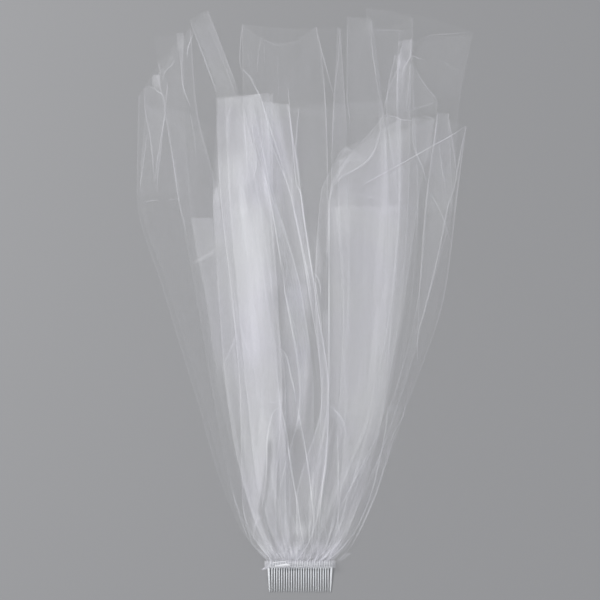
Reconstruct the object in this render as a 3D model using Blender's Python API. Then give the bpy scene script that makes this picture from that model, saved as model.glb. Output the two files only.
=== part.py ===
"""A two-tier tulle bridal veil, gathered onto a clear comb and laid flat on a table.

Metres, +Z up. The origin is the middle of the comb's bar, on its underside. The veil lies
on z = 0 with the comb's teeth towards -Y and its hems towards +Y.
Each tier is one sheet of cloth. It is gathered at the comb and laid down in flat pleats,
so it runs to and fro between fold lines, and every run lies on what is already there.
"""

import math
from collections import namedtuple

import bmesh
import bpy
import numpy as np

MM = 0.001

TULLE_COLOR = (0.82, 0.82, 0.84)
PLASTIC_COLOR = (0.9, 0.92, 0.93)

# Comb: slim teeth between two stout end teeth, all on one straight bar.
SLIM_TEETH = 24
SLIM_PITCH = 3.0 * MM
SLIM_TOOTH_WIDTH = 1.5 * MM
END_TOOTH_WIDTH = 2.6 * MM
END_TOOTH_FROM_MIDDLE = 38.7 * MM
END_TOOTH_LEAN = 1.5 * MM
BAR_BACK, BAR_FRONT = 3.1 * MM, -3.1 * MM
TOOTH_TIP = -34.3 * MM
TOOTH_SECTIONS = 4
TIP_WIDTH_SHARE = 0.5
BAR_THICKNESS = 2.4 * MM
TIP_THICKNESS = 1.0 * MM

# Heading: the gathered top edge of the cloth, folded over the comb's bar and sewn down.
HEADING_WIDTH = 87 * MM
HEADING_GATHERS = 20
GATHER_RELIEF = 0.5 * MM
BAR_CLEARANCE = 0.4 * MM
HEADING_BACK, HEADING_FRONT = 5.2 * MM, -3.7 * MM
HEADING_HEIGHT = 10.6 * MM
HEADING_LIP = 2.2 * MM
# Up its back and over its top: shares of the way to its front, and of its height.
HEADING_ARCH = [(0, 0), (0, 0.7), (0.16, 0.95), (0.45, 1.0), (0.75, 0.85)]

# Cloth: how thick a run is, how far apart runs lie on each other, and how round their folds are.
WALL = 1.0 * MM
LAYER_GAP = 0.4 * MM
FOLD_ROUND = 0.6 * MM
FOLD_ANGLES = [math.radians(angle) for angle in (-40, 40)]
NARROWEST_RUN = 2 * MM

# Gathers: the cloth starts here, and each fold line flares from it this much faster than on.
GATHER_LINE = 5.7 * MM
GATHERED_WIDTH = 82 * MM
GATHER_OVERLAP = 1.5 * MM
FLARE = 1.9

# Rows of points across a run, closer near the comb, and cells between them.
ROWS = 13
ROW_CROWDING = 1.5
CELL_WIDTH = 32 * MM
FEWEST_CELLS, MOST_CELLS = 3, 4
DIP_CROWDING = 3

# Laying cloth down: a grid of heights seen from above, and the steps that let a run sink on it.
PILE_STEP = 0.5 * MM
PILE_LOW = (-230 * MM, -10 * MM)
PILE_HIGH = (240 * MM, 710 * MM)
EDGE_MARGIN = FOLD_ROUND + WALL / 2 + 0.2 * MM
FALLS = [0, *np.geomspace(4 * MM, 0.1 * MM, 24)]
SWEEPS = 2
SETTLED = 0.01 * MM

# How far from the gathers the columns of the fold tables stand, in millimetres. A station this
# close to a fold's hem is passed over.
STATIONS = {"neck": 70, "waist": 200, "middle": 330, "shoulder": 450, "crest": 560}
LAST_STRETCH = 20

# A row for each fold line, from the left edge of the cloth to its right edge, in millimetres.
# neck to crest are the fold's distances from the middle line at those stations, hem_x and hem_y
# are where it meets the hem, and dip is how far the hem of the next run sags to the comb.
Fold = namedtuple("Fold", "neck waist middle shoulder crest hem_x hem_y dip")
LONG_TIER = [
    Fold(-60, -87, -114, -135, -142, -144, 649, -4),
    Fold(-87, -127, -167, -200, None, -198, 571, -3),
    Fold(-44, -64, -86, -102, -128, -135, 654, 0),
    Fold(-78, -106, -128, -150, -167, -176, 595, 0),
    Fold(-30, -22, -31, -47, -72, -113, 676, -2),
    Fold(-58, -47, -59, -76, -99, -135, 664, 0),
    Fold(-18, -18, -34, -52, -76, -118, 673, 0),
    Fold(-42, -39, -55, -73, -95, -130, 659, 90),
    Fold(10, 34, 33, 34, 31, 20, 656, 22),
    Fold(-24, -25, -42, -60, -69, -71, 659, 3),
    Fold(24, 58, 60, 58, 55, 49, 654, 0),
    Fold(-4, 27, 30, 38, 42, 47, 655, 8),
    Fold(38, 92, 106, 108, 101, 88, 664, 0),
    Fold(12, 49, 59, 61, 58, 58, 668, 12),
    Fold(52, 117, 138, 145, 140, 138, 666, -3),
    Fold(28, 68, 88, 101, 96, 81, 678, -6),
    Fold(74, 130, 172, 188, 195, 212, 649, 3),
    Fold(44, 89, 113, 121, 119, 121, 637, 0),
    Fold(72, 105, 125, 133, 135, 137, 640, 0),
    Fold(56, 93, 116, 117, 106, 116, 620, -10),
    Fold(84, 123, 153, 165, None, 169, 565, 0),
]
SHORT_TIER = [
    Fold(-82, -121, -160, -197, None, -189, 560, 40),
    Fold(-46, -22, -28, -34, None, -34, 573, 0),
    Fold(-70, -73, -84, -97, None, -103, 568, 2),
    Fold(-30, -23, -28, -37, None, -39, 574, 0),
    Fold(-62, -89, -100, -106, None, -101, 565, 3),
    Fold(-12, -25, -34, -41, None, -50, 572, 0),
    Fold(-48, -64, -76, -86, None, -91, 569, 2),
    Fold(16, 16, 1, -33, None, -59, 566, 0),
    Fold(-26, 0, -18, -38, None, -70, 568, 2),
    Fold(24, 35, 18, 1, None, -15, 560, 0),
    Fold(-4, 27, 11, -12, None, -47, 563, 6),
    Fold(40, 89, 98, 105, None, 106, 549, 0),
    Fold(10, 34, 36, 37, None, 101, 544, 3),
    Fold(52, 108, 129, 146, None, 164, 541, 0),
    Fold(18, 26, 19, 26, None, 57, 507, 0),
    Fold(60, 103, 114, 122, None, 123, 541, 0),
    Fold(28, 49, 53, 47, None, 49, 491, 0),
    Fold(72, 123, 160, 186, None, 182, 549, 0),
    Fold(52, 114, 146, 156, None, 169, 549, 0),
    Fold(84, 135, 178, 193, None, 204, 533, 0),
    Fold(48, 55, 52, 49, None, 44, 432, 0),
    Fold(76, 113, 138, 146, None, 148, 435, 0),
]


def clear_scene():
    for obj in list(bpy.data.objects):
        bpy.data.objects.remove(obj, do_unlink=True)


def make_material(name, color, roughness, transmission=0.0):
    material = bpy.data.materials.new(name)
    material.use_nodes = True
    shader = material.node_tree.nodes["Principled BSDF"]
    shader.inputs["Base Color"].default_value = (*color, 1.0)
    shader.inputs["Roughness"].default_value = roughness
    shader.inputs["Metallic"].default_value = 0.0
    shader.inputs["Transmission Weight"].default_value = transmission
    return material


def add_object(name, bm, material):
    bmesh.ops.recalc_face_normals(bm, faces=bm.faces)
    mesh = bpy.data.meshes.new(name)
    bm.to_mesh(mesh)
    bm.free()
    mesh.materials.append(material)
    mesh.shade_smooth()
    mesh.set_sharp_from_angle(angle=math.radians(40))
    obj = bpy.data.objects.new(name, mesh)
    bpy.context.scene.collection.objects.link(obj)


# ---------------------------------------------------------------- comb and heading


def comb_teeth():
    """Middle, width and lean of the tip for each tooth, from left to right."""
    first = -SLIM_PITCH * (SLIM_TEETH - 1) / 2
    slim = [(first + i * SLIM_PITCH, SLIM_TOOTH_WIDTH, 0.0) for i in range(SLIM_TEETH)]
    left_end = (-END_TOOTH_FROM_MIDDLE, END_TOOTH_WIDTH, END_TOOTH_LEAN)
    right_end = (END_TOOTH_FROM_MIDDLE, END_TOOTH_WIDTH, -END_TOOTH_LEAN)
    return [left_end, *slim, right_end]


def tooth_section(bm, middle, width, lean, share):
    """Four corners across a tooth, share of the way from its root to its tip."""
    half = width / 2 * (1 - (1 - TIP_WIDTH_SHARE) * share ** 2)
    top = BAR_THICKNESS + (TIP_THICKNESS - BAR_THICKNESS) * share
    y = BAR_FRONT + (TOOTH_TIP - BAR_FRONT) * share
    x = middle + lean * share
    corners = [(x - half, y, 0), (x + half, y, 0), (x + half, y, top), (x - half, y, top)]
    return [bm.verts.new(corner) for corner in corners]


def join_sections(bm, first, second):
    for i in range(len(first)):
        k = (i + 1) % len(first)
        bm.faces.new((first[i], first[k], second[k], second[i]))


def add_comb(material):
    bm = bmesh.new()
    roots = []
    for middle, width, lean in comb_teeth():
        sections = [
            tooth_section(bm, middle, width, lean, i / TOOTH_SECTIONS)
            for i in range(TOOTH_SECTIONS + 1)
        ]
        for first, second in zip(sections, sections[1:]):
            join_sections(bm, first, second)
        bm.faces.new(sections[-1])
        roots.append(sections[0])
    fronts = []
    for root in roots:
        fronts += [(root[0], root[3]), (root[1], root[2])]
    backs = [
        [bm.verts.new((corner.co.x, BAR_BACK, corner.co.z)) for corner in pair] for pair in fronts
    ]
    for i in range(len(fronts) - 1):
        (low, high), (next_low, next_high) = fronts[i], fronts[i + 1]
        (back_low, back_high), (next_back_low, next_back_high) = backs[i], backs[i + 1]
        bm.faces.new((low, next_low, next_back_low, back_low))
        bm.faces.new((high, next_high, next_back_high, back_high))
        bm.faces.new((back_low, next_back_low, next_back_high, back_high))
        if i % 2:
            bm.faces.new((low, next_low, next_high, high))
    for front, back in ((fronts[0], backs[0]), (fronts[-1], backs[-1])):
        bm.faces.new((front[0], front[1], back[1], back[0]))
    add_object("comb", bm, material)


def heading_profile(relief):
    """The heading cut across the comb, going round it from its back foot, as y and z."""
    inner_top = BAR_THICKNESS + BAR_CLEARANCE
    inner_back = BAR_BACK + BAR_CLEARANCE
    depth = HEADING_FRONT - HEADING_BACK
    height = HEADING_HEIGHT + relief
    arch = [(HEADING_BACK + along * depth, up * height) for along, up in HEADING_ARCH]
    return [
        *arch,
        (HEADING_FRONT, inner_top + HEADING_LIP + relief),
        (HEADING_FRONT, inner_top),
        (inner_back, inner_top),
        (inner_back, 0),
    ]


def add_heading(material):
    bm = bmesh.new()
    stations = 2 * HEADING_GATHERS + 1
    rings = []
    for i in range(stations):
        x = HEADING_WIDTH * (i / (stations - 1) - 0.5)
        relief = GATHER_RELIEF if i % 2 else -GATHER_RELIEF
        rings.append([bm.verts.new((x, y, z)) for y, z in heading_profile(relief)])
    for first, second in zip(rings, rings[1:]):
        join_sections(bm, first, second)
    bm.faces.new(rings[0])
    bm.faces.new(rings[-1])
    add_object("heading", bm, material)


# ---------------------------------------------------------------- fold lines


def smooth_curve(stations, values, at):
    """A curve through the values that never swings past them, read at the places in at."""
    stations, values = np.asarray(stations), np.asarray(values)
    gaps = np.diff(stations)
    slopes = np.diff(values) / gaps
    ends = np.zeros(len(values))
    ends[0] = slopes[0] * FLARE
    ends[-1] = slopes[-1]
    for i in range(1, len(values) - 1):
        if slopes[i - 1] * slopes[i] > 0:
            ends[i] = 2 / (1 / slopes[i - 1] + 1 / slopes[i])
    k = np.clip(np.searchsorted(stations, at, side="right") - 1, 0, len(gaps) - 1)
    t = (at - stations[k]) / gaps[k]
    start_pull = ends[k] * gaps[k] * t * (1 - t) ** 2
    end_pull = ends[k + 1] * gaps[k] * t ** 2 * (1 - t)
    blend = t * t * (3 - 2 * t)
    return values[k] * (1 - blend) + values[k + 1] * blend + start_pull - end_pull


def is_right_turn(index, first_is_right):
    return (index % 2 == 0) == first_is_right


def fold_lines(table, first_is_right):
    """x and y of each fold line at each row from the comb to the hem."""
    lines = []
    for index, fold in enumerate(table):
        is_right = is_right_turn(index, first_is_right)
        spread = GATHERED_WIDTH - 2 * GATHER_OVERLAP
        at_comb = (index / (len(table) - 1) - 0.5) * spread
        at_comb += GATHER_OVERLAP if is_right else -GATHER_OVERLAP
        inner = [(y, getattr(fold, name)) for name, y in STATIONS.items()]
        kept = [(y, x) for y, x in inner if x is not None and y < fold.hem_y - LAST_STRETCH]
        stations, values = zip((0, at_comb / MM), *kept, (fold.hem_y, fold.hem_x))
        along = fold.hem_y * (np.arange(ROWS + 1) / ROWS) ** ROW_CROWDING
        x = smooth_curve(stations, values, along) * MM
        y = GATHER_LINE + along * MM
        if lines:
            nearest = lines[-1][0] + (NARROWEST_RUN if is_right else -NARROWEST_RUN)
            x = np.maximum(x, nearest) if is_right else np.minimum(x, nearest)
        lines.append((x, y))
    return lines


def run_between(start, end, dip):
    """x and y over a run of cloth from one fold line to the next, a row at a time."""
    width = np.abs(end[0] - start[0]).max()
    cells = int(np.clip(round(width / CELL_WIDTH), FEWEST_CELLS, MOST_CELLS))
    across = np.linspace(0, 1, cells + 1)
    x = start[0][:, None] * (1 - across) + end[0][:, None] * across
    y = start[1][:, None] * (1 - across) + end[1][:, None] * across
    towards_hem = (np.arange(ROWS + 1) / ROWS)[:, None] ** DIP_CROWDING
    return x, y - dip * MM * towards_hem * np.sin(math.pi * across)


# ---------------------------------------------------------------- laying runs on each other


def grid_triangles(rows, columns):
    """Row and column of each corner, for the two triangles of each cell of a grid."""
    for j in range(rows - 1):
        for i in range(columns - 1):
            yield (j, i), (j, i + 1), (j + 1, i + 1)
            yield (j, i), (j + 1, i + 1), (j + 1, i)


class Pile:
    """The height of everything laid so far, on a grid seen from above."""

    def __init__(self):
        columns = int((PILE_HIGH[0] - PILE_LOW[0]) / PILE_STEP)
        rows = int((PILE_HIGH[1] - PILE_LOW[1]) / PILE_STEP)
        self.top = np.full((rows, columns), -LAYER_GAP)

    def cells_under(self, corners):
        """Grid cells under a triangle, and each corner's share in them."""
        (ax, ay), (bx, by), (cx, cy) = corners
        low = ((corners.min(0) - PILE_LOW) / PILE_STEP).astype(int)
        high = ((corners.max(0) - PILE_LOW) / PILE_STEP).astype(int) + 2
        columns, rows = np.meshgrid(np.arange(low[0], high[0]), np.arange(low[1], high[1]))
        x = PILE_LOW[0] + columns * PILE_STEP
        y = PILE_LOW[1] + rows * PILE_STEP
        twice_area = (bx - ax) * (cy - ay) - (cx - ax) * (by - ay)
        shares = np.stack([
            (bx - x) * (cy - y) - (cx - x) * (by - y),
            (cx - x) * (ay - y) - (ax - x) * (cy - y),
            (ax - x) * (by - y) - (bx - x) * (ay - y),
        ], axis=-1) / twice_area
        inside = (shares >= 0).all(axis=-1)
        return rows[inside], columns[inside], shares[inside]

    def lay(self, x, y):
        """Lays a run at x, y on the pile. Returns the heights of its middle surface.

        The run is looked at with a rim all round it, which its rounded folds reach into.
        """
        index = np.pad(np.arange(x.size).reshape(x.shape), 1, mode="edge")
        rim_x, rim_y = np.pad(x, 1, mode="edge"), np.pad(y, 1, mode="edge")
        outward = EDGE_MARGIN * np.sign(rim_x[:, -1] - rim_x[:, 0])
        rim_x[:, 0] -= outward
        rim_x[:, -1] += outward
        rim_y[0] -= EDGE_MARGIN
        rim_y[-1] += EDGE_MARGIN
        plan = np.stack([rim_x, rim_y], axis=-1)
        rest = LAYER_GAP + WALL / 2
        patches = []
        for triangle in grid_triangles(*index.shape):
            rows, columns, shares = self.cells_under(np.array([plan[at] for at in triangle]))
            if len(rows):
                patches.append(([index[at] for at in triangle], rows, columns, shares))
        height = np.full(x.size, WALL / 2)
        needs = [(corners, shares, self.top[rows, columns] + rest)
                 for corners, rows, columns, shares in patches]
        for fall in FALLS:
            height = np.maximum(height - fall, WALL / 2)
            for _ in range(SWEEPS):
                for need in needs:
                    raise_over(height, *need)
        while max(raise_over(height, *need) for need in needs) > SETTLED:
            pass
        for corners, rows, columns, shares in patches:
            top = shares @ height[corners] + WALL / 2
            self.top[rows, columns] = np.maximum(self.top[rows, columns], top)
        return height.reshape(x.shape)


def raise_over(height, corners, shares, need):
    """Raises a triangle's corners just enough where it falls furthest below its need."""
    short = need - shares @ height[corners]
    worst = short.argmax()
    if short[worst] > 0:
        share = shares[worst]
        height[corners] += share * short[worst] / (share @ share)
    return short[worst]


def wall_points(runs, first_is_right):
    """Points of the cloth's two faces, column by column, along its runs and round its folds."""
    front, back = [], []
    for index, (x, y, z) in enumerate(runs):
        side = -1 if index % 2 == 0 else 1
        for column in range(x.shape[1]):
            at = x[:, column], y[:, column], z[:, column]
            front.append(np.stack([at[0], at[1], at[2] + side * WALL / 2], axis=-1))
            back.append(np.stack([at[0], at[1], at[2] - side * WALL / 2], axis=-1))
        if index + 1 == len(runs):
            break
        outward = 1 if is_right_turn(index + 1, first_is_right) else -1
        upper = runs[index + 1][2][:, 0]
        middle = (z[:, -1] + upper) / 2
        half_rise = (upper - z[:, -1]) / 2
        for angle in FOLD_ANGLES:
            for face, shift in ((front, -side * WALL / 2), (back, side * WALL / 2)):
                reach = (FOLD_ROUND + shift) * math.cos(angle) * outward
                rise = (half_rise + shift) * math.sin(angle)
                face.append(np.stack([x[:, -1] + reach, y[:, -1], middle + rise], axis=-1))
    return front, back


def add_wall(name, front, back, material):
    """A closed wall between two lists of columns of points."""
    bm = bmesh.new()
    fronts = [[bm.verts.new(point) for point in column] for column in front]
    backs = [[bm.verts.new(point) for point in column] for column in back]
    for grid in (fronts, backs):
        for triangle in grid_triangles(ROWS + 1, len(grid)):
            bm.faces.new([grid[i][j] for j, i in triangle])
    for j in (0, ROWS):
        for i in range(len(fronts) - 1):
            bm.faces.new((fronts[i][j], fronts[i + 1][j], backs[i + 1][j], backs[i][j]))
    for i in (0, -1):
        for j in range(ROWS):
            bm.faces.new((fronts[i][j], fronts[i][j + 1], backs[i][j + 1], backs[i][j]))
    add_object(name, bm, material)


def add_tier(name, table, first_is_right, pile, material):
    lines = fold_lines(table, first_is_right)
    runs = []
    for start, end, fold in zip(lines, lines[1:], table):
        x, y = run_between(start, end, fold.dip)
        runs.append((x, y, pile.lay(x, y)))
    add_wall(name, *wall_points(runs, first_is_right), material)


def main():
    clear_scene()
    tulle = make_material("tulle", TULLE_COLOR, roughness=0.8)
    clear_plastic = make_material("clear_plastic", PLASTIC_COLOR, roughness=0.1, transmission=0.9)
    add_comb(clear_plastic)
    add_heading(tulle)
    pile = Pile()
    add_tier("tier_lower", LONG_TIER, True, pile, tulle)
    add_tier("tier_upper", SHORT_TIER, False, pile, tulle)


main()
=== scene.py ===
"""The looks of a two-tier tulle bridal veil, gathered onto a clear comb and laid on a pale table.

Metres, +Z up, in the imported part's frame: the comb's bar is at the origin and the hems lie
towards +Y. The runs of each tier are laid on each other as in the part's source, from the same
tables, and then drawn finely as one thin net shell, with its creases on top.
"""

import math
from collections import namedtuple

import bpy
import numpy as np
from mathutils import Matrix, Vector
from mathutils.bvhtree import BVHTree


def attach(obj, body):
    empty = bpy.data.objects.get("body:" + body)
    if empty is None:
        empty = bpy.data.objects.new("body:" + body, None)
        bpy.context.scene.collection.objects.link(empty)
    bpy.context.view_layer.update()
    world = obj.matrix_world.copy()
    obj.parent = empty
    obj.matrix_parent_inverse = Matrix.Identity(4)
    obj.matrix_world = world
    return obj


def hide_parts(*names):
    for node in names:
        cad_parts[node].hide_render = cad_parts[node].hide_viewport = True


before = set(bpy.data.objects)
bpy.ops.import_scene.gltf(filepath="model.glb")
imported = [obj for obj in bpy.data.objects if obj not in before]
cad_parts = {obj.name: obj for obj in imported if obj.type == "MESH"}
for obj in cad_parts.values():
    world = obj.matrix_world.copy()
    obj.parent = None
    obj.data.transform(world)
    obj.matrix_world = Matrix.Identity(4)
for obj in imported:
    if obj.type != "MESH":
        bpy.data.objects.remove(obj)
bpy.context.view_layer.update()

MM = 0.001

# The photograph's frame: the size of a pixel, and the pixel where the cloth leaves the comb.
PIXEL = 1.23 * MM
GATHER_PIXEL = (300, 560)
FRAME_PIXELS = 600

# ---- sizes shared with the part

SLIM_TEETH = 24
SLIM_PITCH = 3.0 * MM
SLIM_TOOTH_WIDTH = 1.5 * MM
END_TOOTH_WIDTH = 2.6 * MM
END_TOOTH_FROM_MIDDLE = 38.7 * MM
END_TOOTH_LEAN = 1.5 * MM
BAR_BACK, BAR_FRONT = 3.1 * MM, -3.1 * MM
TOOTH_TIP = -34.3 * MM
TIP_WIDTH_SHARE = 0.5
BAR_THICKNESS = 2.4 * MM
TIP_THICKNESS = 1.0 * MM

HEADING_WIDTH = 87 * MM
BAR_CLEARANCE = 0.4 * MM
HEADING_BACK, HEADING_FRONT = 5.2 * MM, -3.7 * MM
HEADING_HEIGHT = 10.6 * MM
HEADING_LIP = 2.2 * MM
HEADING_ARCH = [(0, 0), (0, 0.7), (0.16, 0.95), (0.45, 1.0), (0.75, 0.85)]

WALL = 1.0 * MM
LAYER_GAP = 0.4 * MM
FOLD_ROUND = 0.6 * MM
NARROWEST_RUN = 2 * MM
GATHER_LINE = 5.7 * MM
GATHERED_WIDTH = 82 * MM
GATHER_OVERLAP = 1.5 * MM
FLARE = 1.9
ROWS = 13
ROW_CROWDING = 1.5
CELL_WIDTH = 32 * MM
FEWEST_CELLS, MOST_CELLS = 3, 4
DIP_CROWDING = 3

PILE_STEP = 0.5 * MM
PILE_LOW = (-230 * MM, -10 * MM)
PILE_HIGH = (240 * MM, 710 * MM)
EDGE_MARGIN = FOLD_ROUND + WALL / 2 + 0.2 * MM
FALLS = [0, *np.geomspace(4 * MM, 0.1 * MM, 24)]
SWEEPS = 2
SETTLED = 0.01 * MM

STATIONS = {"neck": 70, "waist": 200, "middle": 330, "shoulder": 450, "crest": 560}
LAST_STRETCH = 20

# A row for each fold line, from the left edge of the cloth to its right edge, in millimetres.
Fold = namedtuple("Fold", "neck waist middle shoulder crest hem_x hem_y dip")
LONG_TIER = [
    Fold(-60, -87, -114, -135, -142, -144, 649, -4),
    Fold(-87, -127, -167, -200, None, -198, 571, -3),
    Fold(-44, -64, -86, -102, -128, -135, 654, 0),
    Fold(-78, -106, -128, -150, -167, -176, 595, 0),
    Fold(-30, -22, -31, -47, -72, -113, 676, -2),
    Fold(-58, -47, -59, -76, -99, -135, 664, 0),
    Fold(-18, -18, -34, -52, -76, -118, 673, 0),
    Fold(-42, -39, -55, -73, -95, -130, 659, 90),
    Fold(10, 34, 33, 34, 31, 20, 656, 22),
    Fold(-24, -25, -42, -60, -69, -71, 659, 3),
    Fold(24, 58, 60, 58, 55, 49, 654, 0),
    Fold(-4, 27, 30, 38, 42, 47, 655, 8),
    Fold(38, 92, 106, 108, 101, 88, 664, 0),
    Fold(12, 49, 59, 61, 58, 58, 668, 12),
    Fold(52, 117, 138, 145, 140, 138, 666, -3),
    Fold(28, 68, 88, 101, 96, 81, 678, -6),
    Fold(74, 130, 172, 188, 195, 212, 649, 3),
    Fold(44, 89, 113, 121, 119, 121, 637, 0),
    Fold(72, 105, 125, 133, 135, 137, 640, 0),
    Fold(56, 93, 116, 117, 106, 116, 620, -10),
    Fold(84, 123, 153, 165, None, 169, 565, 0),
]
SHORT_TIER = [
    Fold(-82, -121, -160, -197, None, -189, 560, 40),
    Fold(-46, -22, -28, -34, None, -34, 573, 0),
    Fold(-70, -73, -84, -97, None, -103, 568, 2),
    Fold(-30, -23, -28, -37, None, -39, 574, 0),
    Fold(-62, -89, -100, -106, None, -101, 565, 3),
    Fold(-12, -25, -34, -41, None, -50, 572, 0),
    Fold(-48, -64, -76, -86, None, -91, 569, 2),
    Fold(16, 16, 1, -33, None, -59, 566, 0),
    Fold(-26, 0, -18, -38, None, -70, 568, 2),
    Fold(24, 35, 18, 1, None, -15, 560, 0),
    Fold(-4, 27, 11, -12, None, -47, 563, 6),
    Fold(40, 89, 98, 105, None, 106, 549, 0),
    Fold(10, 34, 36, 37, None, 101, 544, 3),
    Fold(52, 108, 129, 146, None, 164, 541, 0),
    Fold(18, 26, 19, 26, None, 57, 507, 0),
    Fold(60, 103, 114, 122, None, 123, 541, 0),
    Fold(28, 49, 53, 47, None, 49, 491, 0),
    Fold(72, 123, 160, 186, None, 182, 549, 0),
    Fold(52, 114, 146, 156, None, 169, 549, 0),
    Fold(84, 135, 178, 193, None, 204, 533, 0),
    Fold(48, 55, 52, 49, None, 44, 432, 0),
    Fold(76, 113, 138, 146, None, 148, 435, 0),
]

# ---- sizes of the fine cloth

FINE_ROWS = 138
FINE_CELL = 4.5 * MM
FEWEST_FINE, MOST_FINE = 6, 30
FOLD_INSETS = (0.7 * MM, 2.0 * MM)
MOST_INSET_SHARES = (0.048, 0.12)
ROUND_ANGLES = [math.radians(angle) for angle in (-60, -30, 0, 30, 60)]
FOLD_REACH = 0.8 * MM
TUCK_DEPTH = 3.5 * MM
TUCKED_HEIGHT_SHARE = 0.8
HEM_EDGE_SHARE = 0.15
HEM_LAYERS = 0.35

# Streaks of finer pleating along each run: their stations from comb to hem, the share of the
# net that they move, and their height.
STREAK_STATIONS = 6
STREAK_SHARE = 0.4
STREAK_HEIGHT = 0.3 * MM

# Pleats that fan out from the comb through every layer. Heights fade out below FULL_LIFT, so
# that the cloth still rests flat on the table.
FAN_PLEATS = 46
FAN_LENGTHS = (60 * MM, 420 * MM)
FAN_HEIGHTS = (0.8 * MM, 3.0 * MM)
FAN_WIDTHS = (0.25, 0.6)
FAN_SCATTER, FAN_LEAN, FAN_FADE = 0.4, 0.5, 1.2
FAN_SEED = 5
FULL_LIFT = 8 * MM
OUTLINE_ROWS, OUTLINE_END = 60, 600 * MM

# How many layers of net lie pleated in each run, and how closely each fold line is pinched, from
# the left edge of the cloth to its right edge. Pinches vary along the fold lines, and half of
# each reaches the next column of points.
PINCH_STATIONS, PINCH_RANGE, PINCH_FADE = 9, (0.3, 1.3), 0.5
LONG_LAYERS = [0.45, 0.45, 0.5, 0.6, 0.9, 0.9, 0.9, 0.35, 0.8, 0.7, 0.7, 0.6, 0.7, 0.5, 0.45, 0.35,
               0.4, 0.8, 0.9, 0.6]
LONG_PINCHES = [1, 1, 1.2, 1, 1.5, 1.2, 1.5, 0.5, 1.3, 1.5, 1, 1, 1.2, 1, 0.8, 0.5, 0.8, 1.5, 1.5, 1, 1]
SHORT_LAYERS = [0.7] + [1.6] * 8 + [1.5] + [0.8] * 11
SHORT_PINCHES = [1.5, 0.5, 1.8, 0.5, 1.2, 0.5, 1, 1, 1, 4, 2, 0.6, 1, 1, 2, 1, 1.2, 1.5, 2, 3.5, 1, 1]

# Stretches where both tiers' net, or only one's, lies more or less closely pleated: how many times
# as dense one is, how soft its edges are in pixels, and its left and right edges at pixel rows of
# the photograph.
PATCHES = {
    "above_hem": (0.7, 3, (14, 326, 346), (40, 318, 383), (103, 306, 383)),
    "wedge_side": (1.5, 4, (228, 306, 313), (250, 307, 321), (276, 308, 326)),
    "gathers_right": (1.25, 4, (553, 284, 334), (560, 284, 330)),
    "gathers_left": (1.4, 4, (552, 254, 268), (560, 262, 270)),
    "gathers_peak": (0.5, 6, (532, 295, 303), (540, 289, 304), (549, 281, 302)),
    "slit_low": (0.55, 3, (254, 322, 329), (312, 322, 330)),
    "beside_slit": (1.35, 3, (244, 305, 313), (312, 305, 314)),
    "low_centre_glow": (1.35, 5, (268, 289, 304), (312, 289, 305)),
    "core_low": (0.87, 8, (256, 243, 258), (306, 244, 258)),
    "core_top": (1.2, 5, (176, 242, 250), (200, 242, 250)),
    "core_right_gap": (1.5, 4, (194, 273, 280), (236, 275, 282)),
    "right_bright": (1.2, 5, (200, 380, 393), (296, 380, 391)),
    "left_outer": (0.6, 3, (195, 100, 180), (216, 100, 187), (270, 100, 196), (324, 100, 206),
        (389, 100, 217), (432, 100, 228), (508, 100, 249), (550, 100, 260)),
    "right_outer": (0.65, 4, (210, 420, 480), (260, 412, 480), (300, 406, 480), (340, 397, 480),
        (373, 390, 480), (432, 379, 480), (486, 361, 480), (530, 347, 480)),
    "bundle_head": (0.55, 16, (88, 212, 246), (130, 212, 246), (158, 212, 244)),
    "left_bundle": (1.28, 12, (120, 214, 282), (200, 216, 284), (300, 226, 284), (400, 238, 286),
        (460, 246, 282), (530, 254, 268)),
    "left_core": (1.55, 14, (204, 240, 264), (260, 242, 263), (300, 244, 259), (360, 246, 260)),
    "core_side": (0.68, 10, (290, 266, 284), (350, 266, 288), (420, 266, 286), (460, 264, 280)),
    "core_foot": (0.95, 12, (420, 248, 266), (460, 250, 268), (520, 254, 268)),
    "diagonals": (2.3, 8, (104, 262, 276), (150, 264, 284), (190, 266, 296), (240, 274, 304),
        (292, 282, 308)),
    "between": (3.4, 9, (292, 284, 307), (330, 283, 308), (370, 284, 308), (426, 289, 301)),
    "beside_core": (1.5, 8, (390, 279, 290), (440, 276, 290), (525, 276, 290)),
    "low_right": (1.45, 10, (456, 356, 385), (486, 336, 372), (530, 318, 362)),
    "bundle_shoulder": (1.3, 10, (100, 246, 276), (150, 250, 282), (190, 256, 284)),
    "panel_340": (1.3, 8, (185, 330, 352), (235, 328, 350)),
    "dark_300": (0.65, 7, (424, 295, 302), (460, 297, 309), (500, 297, 311), (525, 297, 309)),
    "left_of_core": (0.95, 5, (250, 226, 234), (330, 232, 240), (380, 236, 246),
        (430, 242, 250)),
    "slit_top": (0.35, 2.5, (258, 281, 284), (275, 281.5, 286), (298, 284, 287)),
    "slit_middle": (0.8, 3, (330, 287, 290), (370, 288, 292), (410, 290, 295), (440, 290, 296),
        (470, 294, 300), (500, 298, 304)),
    "slit_left": (0.35, 3, (440, 268, 273), (480, 263, 270), (510, 258, 265), (530, 264, 270),
        (552, 275, 281)),
    "inside_329": (1.35, 4, (200, 331, 338), (300, 331, 341), (420, 331, 338)),
    "right_inner": (1.25, 9, (118, 378, 402), (207, 375, 402), (300, 376, 396), (350, 374, 388)),
    "flap_foot": (1.2, 9, (112, 382, 402), (160, 380, 402), (207, 380, 402)),
    "under_peak": (0.6, 6, (415, 331, 336), (450, 330, 337), (500, 326, 331)),
    "dark_313": (0.6, 4, (505, 302, 306), (535, 304, 309), (556, 306, 315)),
    "gathers": (1.5, 14, (526, 200, 400), (620, 200, 400)),
    "gathers_close": (3.1, 9, (545, 200, 400), (620, 200, 400)),
}
LONG_PATCHES = {
    "strip_head": (0.55, 4, (4, 182, 214), (24, 186, 216)),
    "dark_345": (0.3, 3, (45, 343, 347), (100, 345, 349), (148, 347, 350)),
}
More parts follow.
